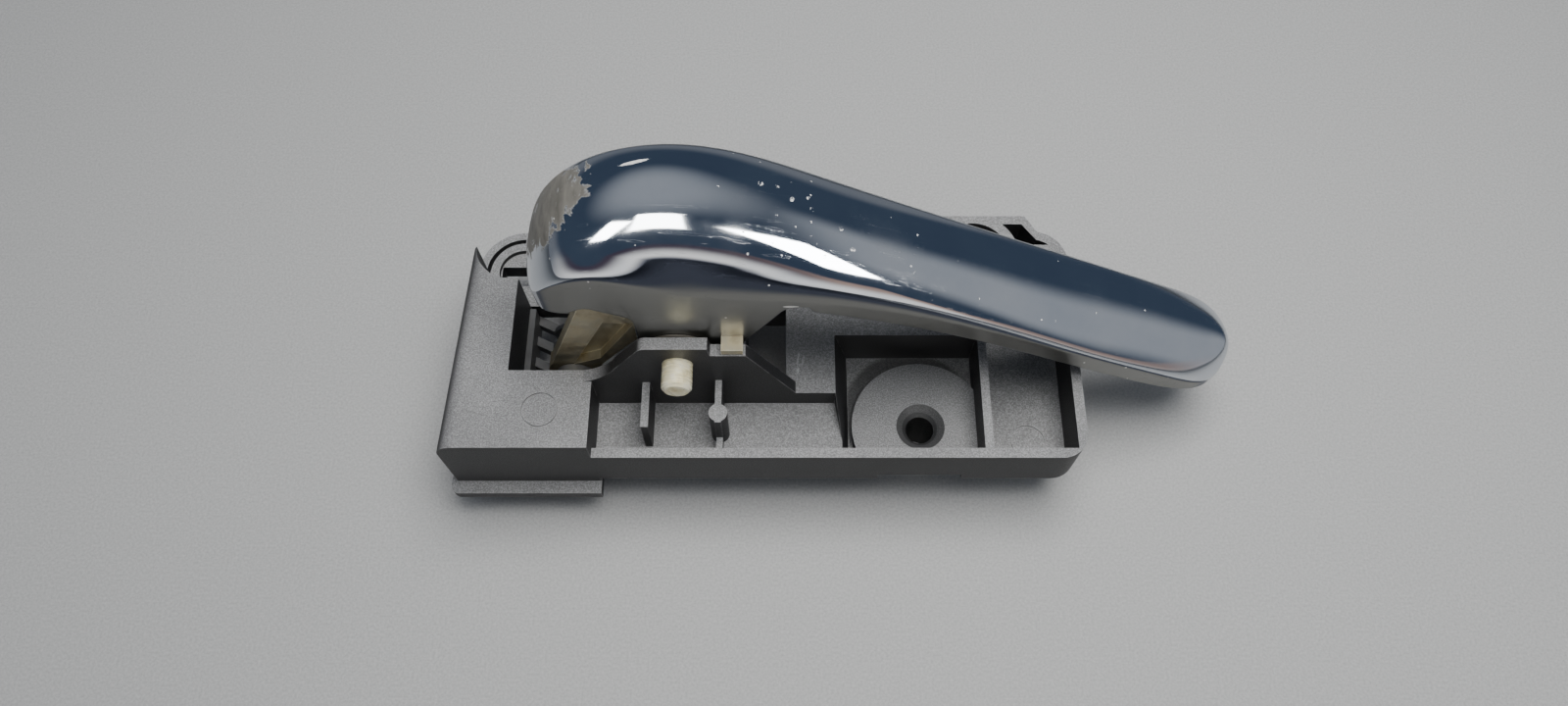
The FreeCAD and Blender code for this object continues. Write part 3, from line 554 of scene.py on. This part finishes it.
# Control sections of the lever's outer skin from the nose of the head to the tip, in millimetres:
# x, front y, crease y, back y, lower z, crease z, crown z, back shoulder z.
# The first two and the last two share their x, which makes both ends round.
CONTROL_SECTIONS = np.array([
    (-70.2, 17.6, 17.6, 17.6, 52.0, 52.0, 52.0, 52.0),
    (-70.2, 9.3, 10.6, 24.9, 48.1, 52.9, 55.5, 54.0),
    (-66.0, 7.3, 9.4, 24.3, 48.4, 61.0, 65.0, 64.0),
    (-58.0, 6.7, 8.8, 26.6, 50.2, 65.5, 69.6, 68.7),
    (-47.0, 6.7, 8.8, 28.0, 50.4, 63.1, 71.7, 70.2),
    (-34.0, 6.7, 8.2, 28.6, 54.1, 59.5, 68.9, 67.4),
    (-16.0, 6.7, 7.7, 25.9, 49.5, 57.8, 62.2, 60.5),
    (6.0, 6.8, 7.8, 23.9, 41.1, 48.1, 52.1, 51.1),
    (28.0, 6.7, 7.7, 24.6, 28.2, 34.5, 38.5, 38.2),
    (46.0, 6.8, 7.9, 24.0, 18.4, 25.2, 29.5, 29.1),
    (56.5, 7.4, 8.4, 24.5, 14.6, 18.7, 23.5, 22.6),
    (60.6, 12.5, 13.0, 20.9, 17.0, 18.8, 21.6, 20.0),
    (60.6, 16.0, 16.0, 16.0, 20.0, 20.0, 20.0, 20.0),
])

# Thickness of the skin and the cheeks, radius of the bushes' bore, and y of the cheeks' outer faces.
SKIN = 2.0
BUSH_R = 4.1
CHEEK = 2.4
CHEEK_FRONT = 6.6
CHEEK_BACK = 24.7

# Roundings of the skin's long edges. The crease's radius changes with x, given as (x values, radii).
CREASE_ROUND = ((-66.0, -48.0, -20.0, 6.0, 30.0, 56.0), (0.9, 1.4, 3.2, 2.0, 1.1, 0.9))
CREASE_TRIM = 0.8
SHOULDER_ROUND = 0.9
SHOULDER_TRIM = 0.6
RIM_ROUND = 0.5
RIM_TURNS = np.radians([90.0, 60.0, 30.0])
BACK_LEAN = 0.4
INSET_DROP = 0.7

# Mesh columns along the lever, and rows across each of its faces and roundings.
COLUMNS = 260
PANEL_STEPS = 18
ROLL_STEPS = 14
CROWN_STEPS = 55
SHOULDER_STEPS = 8
BACK_STEPS = 10
HARD_EDGE = 38.0

# Ends of the hollow in x and its depth, and boxes (x, z, x, z) for the heel and the tab's slot.
CAVITY_FROM = -68.0
CAVITY_TO = 58.2
CAVITY_DROP = 34.0
HEEL_BOX = (-37.9, 38.5, -34.3, 40.5)
HEEL_FRONT = 12.5
TAB_SLOT = (-37.5, 40.4, -33.5, 42.1)
CUT_MARGIN = 2.0

# Lower outline of the front lug in the XZ plane: corner x, z and the radius that rounds it.
LUG_OUTLINE = [
    (-62.5, 49.8, 1.2), (-60.0, 51.6, 1.6), (-52.4, 48.0, 2.2), (-52.4, 29.6, 7.0),
    (-40.6, 29.6, 3.0), (-33.9, 38.1, 6.0), (-25.6, 52.6, 3.0), (-22.0, 52.2, 0.5),
]


def spline_weights(t, count):
    """Weights of a clamped uniform cubic B-spline's control points at parameters t in 0..1."""
    knots = np.concatenate([np.zeros(3), np.linspace(0.0, 1.0, count - 2), np.ones(3)])
    t = np.clip(t, 0.0, 1.0 - 1e-9)
    weights = np.array([(t >= a) & (t < b) for a, b in zip(knots, knots[1:])], float).T
    for degree in (1, 2, 3):
        last = weights
        weights = np.zeros((len(t), last.shape[1] - 1))
        for i in range(weights.shape[1]):
            rise = knots[i + degree] - knots[i]
            fall = knots[i + degree + 1] - knots[i + 1]
            if rise > 0:
                weights[:, i] += (t - knots[i]) / rise * last[:, i]
            if fall > 0:
                weights[:, i] += (knots[i + degree + 1] - t) / fall * last[:, i + 1]
    return weights


def sections(t):
    """Cross-section values of the lever at parameters t, in the order of CONTROL_SECTIONS."""
    return spline_weights(t, len(CONTROL_SECTIONS)) @ CONTROL_SECTIONS


def rounded_path(corners, steps=10):
    """Polyline through the corners with each inner corner replaced by an arc of its radius."""
    points = [np.array(corners[0][:2])]
    for before, corner, after in zip(corners, corners[1:], corners[2:]):
        p = np.array(corner[:2])
        to_before = np.array(before[:2]) - p
        to_after = np.array(after[:2]) - p
        to_before /= np.linalg.norm(to_before)
        to_after /= np.linalg.norm(to_after)
        half = 0.5 * math.acos(np.clip(to_before @ to_after, -1.0, 1.0))
        inward = (to_before + to_after) / np.linalg.norm(to_before + to_after)
        centre = p + inward * corner[2] / math.sin(half)
        first = p + to_before * corner[2] / math.tan(half) - centre
        last = p + to_after * corner[2] / math.tan(half) - centre
        sweep = math.atan2(first[0] * last[1] - first[1] * last[0], first @ last)
        for step in range(steps + 1):
            turn = sweep * step / steps
            c, s = math.cos(turn), math.sin(turn)
            points.append(centre + np.array([c * first[0] - s * first[1], s * first[0] + c * first[1]]))
    points.append(np.array(corners[-1][:2]))
    return np.array(points)


def along(path, amounts):
    """Points on a polyline at shares 0..1 of its length."""
    lengths = np.concatenate([[0.0], np.cumsum(np.linalg.norm(np.diff(path, axis=0), axis=1))])
    at = np.asarray(amounts) * lengths[-1]
    return np.stack([np.interp(at, lengths, path[:, 0]), np.interp(at, lengths, path[:, 1])], axis=1)


def station_parameters(columns):
    """Spline parameters of the columns, evenly spaced along the lever's side and top together."""
    t = np.linspace(0.0, 1.0, 4001)
    profile = sections(t)
    step = np.linalg.norm(np.diff(profile[:, [0, 2, 6]], axis=0), axis=1)
    length = np.concatenate([[0.0], np.cumsum(step)])
    return np.interp(np.linspace(0.0, length[-1], columns), length, t)


def front_edge(table):
    """Lower front edge (x, z) of each column: the lever's own edge, with the lug's outline midway."""
    edge = table[:, [0, 4]].copy()
    outline = rounded_path(LUG_OUTLINE)
    first, last = outline[0, 0], outline[-1, 0]
    inside = np.where((edge[:, 0] > first) & (edge[:, 0] < last))[0]
    share = (edge[inside, 0] - first) / (last - first)
    edge[inside] = along(outline, share)
    return edge


def edge_inward(edge):
    """Unit vectors from the edge into the panel, in the XZ plane."""
    tangent = np.gradient(edge, axis=0)
    tangent /= np.maximum(np.linalg.norm(tangent, axis=1, keepdims=True), 1e-9)
    return np.stack([-tangent[:, 1], tangent[:, 0]], axis=1)


def corner_curve(a, corner, b, steps):
    """Quadratic curve from a to b, pulled to the corner. Arrays of points, one per column."""
    rows = []
    for u in np.linspace(0.0, 1.0, steps):
        rows.append((1 - u) ** 2 * a + 2 * u * (1 - u) * corner + u ** 2 * b)
    return rows


def circle_through(c, t, b):
    """Centre and radius of the YZ circle through three points of each column."""
    ay, az = c[:, 1], c[:, 2]
    by, bz = t[:, 1], t[:, 2]
    cy, cz = b[:, 1], b[:, 2]
    d = 2 * (ay * (bz - cz) + by * (cz - az) + cy * (az - bz))
    d = np.where(np.abs(d) < 1e-9, 1e-9, d)
    a2, b2, c2 = ay ** 2 + az ** 2, by ** 2 + bz ** 2, cy ** 2 + cz ** 2
    uy = (a2 * (bz - cz) + b2 * (cz - az) + c2 * (az - bz)) / d
    uz = (a2 * (cy - by) + b2 * (ay - cy) + c2 * (by - ay)) / d
    return uy, uz, np.hypot(ay - uy, az - uz)


def crown_rows(x, c, t, b, front_trim, back_trim, steps):
    """Rows of points on the arc from the crease over the crown to the back shoulder, and its first slope.

    The trims are the lengths left off at its two ends.
    """
    uy, uz, radius = circle_through(c, t, b)
    start = np.arctan2(c[:, 2] - uz, c[:, 1] - uy)
    end = np.arctan2(b[:, 2] - uz, b[:, 1] - uy)
    length = np.maximum(radius * np.abs(end - start), 1e-6)
    first = np.minimum(front_trim / length, 0.25)
    last = 1.0 - np.minimum(back_trim / length, 0.25)
    rows = []
    for u in np.linspace(0.0, 1.0, steps):
        angle = start + (end - start) * (first + (last - first) * u)
        rows.append(np.stack([x, uy + radius * np.cos(angle), uz + radius * np.sin(angle)], axis=1))
    angle = start + (end - start) * first
    return rows, -np.cos(angle) / np.maximum(np.sin(angle), 0.2)


def panel_rows(bottom, top, steps):
    """Evenly spaced rows of points from bottom to top."""
    return [bottom + (top - bottom) * u for u in np.linspace(0.0, 1.0, steps)]


def toward(a, b, distance, most):
    """Points a distance from a towards b, but no further than the given share of the way."""
    way = b - a
    run = np.maximum(np.linalg.norm(way, axis=1), 1e-6)
    return a + way * (np.minimum(distance, most * run) / run)[:, None]


def over_rows(table, inset, front_bottom, back_bottom):
    """Rows from the front panel's lower edge, over the crease, crown and back shoulder, to the back's edge.

    The panel is upright, and rolls into the crown over a width that changes along the lever. The inset
    moves every surface inwards.
    """
    x, front, crease_y, back, low, crease_z, crown, back_z = table.T
    crease = np.stack([x, crease_y + inset, crease_z - INSET_DROP * inset], axis=1)
    top = np.stack([x, 0.5 * (crease_y + back), crown - inset], axis=1)
    shoulder = np.stack([x, back - inset, back_z - INSET_DROP * inset], axis=1)
    roll = np.interp(x, *CREASE_ROUND)
    arc, slope = crown_rows(x, crease, top, shoulder, CREASE_TRIM * roll, SHOULDER_TRIM, CROWN_STEPS)
    upright = front + inset
    room = arc[0][:, 2] - low
    corner_z = arc[0][:, 2] - np.clip(slope * (arc[0][:, 1] - upright), 0.0, 0.45 * room)
    corner = np.stack([x, upright, corner_z], axis=1)
    before = toward(corner, front_bottom, roll, 0.7)
    back_reflection = toward(shoulder, back_bottom, SHOULDER_ROUND, 0.4)
    rows = panel_rows(front_bottom, before, PANEL_STEPS)[:-1]
    rows += corner_curve(before, corner, arc[0], ROLL_STEPS)
    rows += arc[1:-1]
    rows += corner_curve(arc[-1], shoulder, back_reflection, SHOULDER_STEPS)
    rows += panel_rows(back_reflection, back_bottom, BACK_STEPS)[1:]
    return rows


def outer_rows(table):
    """Rings of the outer skin, with the lug's outline and a rounded rim along the front's lower edge."""
    front, back = table[:, 1], table[:, 3]
    edge = front_edge(table)
    rim = edge_inward(edge) * RIM_ROUND
    rows = []
    for turn in RIM_TURNS:
        y = front + RIM_ROUND * (1 - math.cos(turn))
        share = 1 - math.sin(turn)
        rows.append(np.stack([edge[:, 0] + rim[:, 0] * share, y, edge[:, 1] + rim[:, 1] * share], axis=1))
    front_bottom = np.stack([edge[:, 0] + rim[:, 0], front, edge[:, 1] + rim[:, 1]], axis=1)
    back_bottom = np.stack([table[:, 0], back - BACK_LEAN, table[:, 4]], axis=1)
    rows += over_rows(table, 0.0, front_bottom, back_bottom)
    in_from_edge = np.minimum(SKIN + 0.6, 0.45 * (back - front))
    rows.append(np.stack([table[:, 0], back - in_from_edge, table[:, 4]], axis=1))
    rows.append(np.stack([edge[:, 0], front + in_from_edge, edge[:, 1]], axis=1))
    return rows


def cavity_rows(table):
    """Rings of the hollow inside the skin, open downwards."""
    x, front, _, back, low = table.T[:5]
    front_bottom = np.stack([x, front + SKIN, low], axis=1)
    back_bottom = np.stack([x, back - SKIN - BACK_LEAN, low], axis=1)
    drop = np.array([0.0, 0.0, CAVITY_DROP])
    return [front_bottom - drop] + over_rows(table, SKIN, front_bottom, back_bottom) + [back_bottom - drop]


def link(mesh, name):
    """Object from a mesh, with its faces turned outwards."""
    work = bmesh.new()
    work.from_mesh(mesh)
    bmesh.ops.recalc_face_normals(work, faces=work.faces)
    work.to_mesh(mesh)
    work.free()
    obj = bpy.data.objects.new(name, mesh)
    bpy.context.scene.collection.objects.link(obj)
    return obj


def ring_solid(name, rows, pointed):
    """Closed solid from rows of points, one point per column. Its ends are points, or flat."""
    points = np.stack(rows, axis=1)
    ends = [points[0].mean(axis=0), points[-1].mean(axis=0)] if pointed else []
    if pointed:
        points = points[1:-1]
    columns, count = points.shape[:2]
    vertices = [tuple(v * MM) for v in points.reshape(-1, 3)] + [tuple(v * MM) for v in ends]
    last = (columns - 1) * count
    faces = []
    for i in range(0, last, count):
        for j in range(count):
            k = (j + 1) % count
            faces.append((i + j, i + k, i + count + k, i + count + j))
    if pointed:
        nose = last + count
        faces += [(nose, (j + 1) % count, j) for j in range(count)]
        faces += [(nose + 1, last + j, last + (j + 1) % count) for j in range(count)]
    else:
        faces += [tuple(range(count)), tuple(range(last, last + count))]
    mesh = bpy.data.meshes.new(name)
    mesh.from_pydata(vertices, [], faces)
    return link(mesh, name)


def prism_y(name, outline, y0, y1):
    """Solid from an XZ outline, in millimetres, between two y planes."""
    mesh = bpy.data.meshes.new(name)
    near = [(x * MM, y0 * MM, z * MM) for x, z in outline]
    far = [(x * MM, y1 * MM, z * MM) for x, z in outline]
    n = len(outline)
    faces = [tuple(range(n)), tuple(range(n, 2 * n))]
    faces += [(i, i + n, (i + 1) % n + n, (i + 1) % n) for i in range(n)]
    mesh.from_pydata(near + far, [], faces)
    return link(mesh, name)


def circle(x, z, radius, count=64):
    """Outline of a circle in the XZ plane."""
    turns = [2 * math.pi * i / count for i in range(count)]
    return [(x + radius * math.cos(a), z + radius * math.sin(a)) for a in turns]


def combine(obj, others, operation):
    """Exact Boolean of obj with each of the others, which are then removed."""
    for other in others:
        modifier = obj.modifiers.new("boolean", "BOOLEAN")
        modifier.operation = operation
        modifier.solver = "EXACT"
        modifier.object = other
        bpy.context.view_layer.update()
        evaluated = obj.evaluated_get(bpy.context.evaluated_depsgraph_get())
        mesh = bpy.data.meshes.new_from_object(evaluated)
        obj.modifiers.clear()
        obj.data = mesh
        bpy.data.objects.remove(other)
    return obj


def smooth_by_angle(obj, degrees):
    """Smooth shading, with edges sharper than the angle kept hard."""
    mesh = obj.data
    work = bmesh.new()
    work.from_mesh(mesh)
    for face in work.faces:
        face.smooth = True
    limit = math.radians(degrees)
    for edge in work.edges:
        edge.smooth = len(edge.link_faces) == 2 and edge.calc_face_angle(0.0) < limit
    work.to_mesh(mesh)
    work.free()


def box_outline(x0, z0, x1, z1):
    """Outline of an upright rectangle in the XZ plane."""
    return [(x0, z0), (x1, z0), (x1, z1), (x0, z1)]


def rear_cheek_outline(table):
    """Rear cheek: the lug's outline below, and a top that ends inside the head's skin."""
    inside = table[(table[:, 0] > -60.0) & (table[:, 0] < -30.0)][::-4]
    rise = [(row[0], row[6] - 0.335 * (row[6] - row[7]) - 0.5 * SKIN) for row in inside]
    below = rounded_path([(-61.0, 60.0, 0.0), (-60.4, 51.6, 1.6)] + LUG_OUTLINE[2:6] + [(-29.5, 47.0, 0.0)])
    return [tuple(point) for point in below] + rise


def make_lever(material):
    """Hollow chrome lever: outer skin less its cavity, with the rear cheek, heel, pin bore and tab slot."""
    table = sections(station_parameters(COLUMNS))
    lever = ring_solid("lever_skin", outer_rows(table), True)
    hollow = table[(table[:, 0] > CAVITY_FROM) & (table[:, 0] < CAVITY_TO)]
    cavity = ring_solid("cavity", cavity_rows(hollow), False)
    combine(lever, [cavity], "DIFFERENCE")
    cheek = prism_y("cheek", rear_cheek_outline(table), CHEEK_BACK - CHEEK, CHEEK_BACK)
    heel = prism_y("heel", box_outline(*HEEL_BOX), HEEL_FRONT, CHEEK_BACK - 1.0)
    combine(lever, [cheek, heel], "UNION")
    pin = circle(PIVOT.x / MM, PIVOT.z / MM, BUSH_R)
    bore = prism_y("bore", pin, CHEEK_FRONT - CUT_MARGIN, CHEEK_BACK + CUT_MARGIN)
    slot = prism_y("slot", box_outline(*TAB_SLOT), CHEEK_FRONT - 1.0, CHEEK_FRONT + CHEEK + 1.0)
    combine(lever, [bore, slot], "DIFFERENCE")
    lever.data.materials.clear()
    lever.data.materials.append(material)
    smooth_by_angle(lever, HARD_EDGE)
    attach(lever, "lever")
    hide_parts("handle_shell")
    return lever


# ---------------------------------------------------------------- return spring

# Mean radius and wire diameter of the coil, y of its two ends, turns, and the angle where it starts.
SPRING_RADIUS = 4.95
SPRING_WIRE = 1.4
SPRING_FRONT = 14.1
SPRING_BACK = 20.7
SPRING_TURNS = 4.4
SPRING_START = math.radians(188.0)
POINTS_PER_TURN = 36


def spring_path():
    """Centreline in millimetres: leg on the crossbar, coil round the pin, leg under the head's ceiling."""
    centre = np.array([PIVOT.x / MM, PIVOT.z / MM])
    points = [(-44.9, SPRING_FRONT, 11.4), (-45.0, SPRING_FRONT, 14.0)]
    count = int(SPRING_TURNS * POINTS_PER_TURN)
    for i in range(count + 1):
        share = i / count
        angle = SPRING_START - 2 * math.pi * SPRING_TURNS * share
        x = centre[0] + SPRING_RADIUS * math.cos(angle)
        z = centre[1] + SPRING_RADIUS * math.sin(angle)
        points.append((x, SPRING_FRONT + (SPRING_BACK - SPRING_FRONT) * share, z))
    points += [(-57.0, SPRING_BACK, 56.0), (-59.6, SPRING_BACK, 57.6)]
    return points


def make_spring(material):
    """Round wire swept along the spring's centreline, which turns from the base to the lever."""
    curve = bpy.data.curves.new("spring", "CURVE")
    curve.dimensions = "3D"
    curve.bevel_depth = 0.5 * SPRING_WIRE * MM
    curve.bevel_resolution = 5
    curve.use_fill_caps = True
    points = spring_path()
    spline = curve.splines.new("POLY")
    spline.points.add(len(points) - 1)
    for point, place in zip(spline.points, points):
        point.co = (place[0] * MM, place[1] * MM, place[2] * MM, 1.0)
    shape = bpy.data.objects.new("spring_curve", curve)
    bpy.context.scene.collection.objects.link(shape)
    bpy.context.view_layer.update()
    mesh = bpy.data.meshes.new_from_object(shape.evaluated_get(bpy.context.evaluated_depsgraph_get()))
    bpy.data.objects.remove(shape)
    spring = bpy.data.objects.new("torsion_spring", mesh)
    bpy.context.scene.collection.objects.link(spring)
    mesh.materials.clear()
    mesh.materials.append(material)
    for face in mesh.polygons:
        face.use_smooth = True
    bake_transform(spring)
    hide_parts("return_spring")
    return spring


make_camera()
make_world()
make_lights()
make_floor()
MATERIALS = make_materials()
dress_cad_nodes(MATERIALS)
make_lever(MATERIALS["chrome"])
make_spring(MATERIALS["spring_steel"])
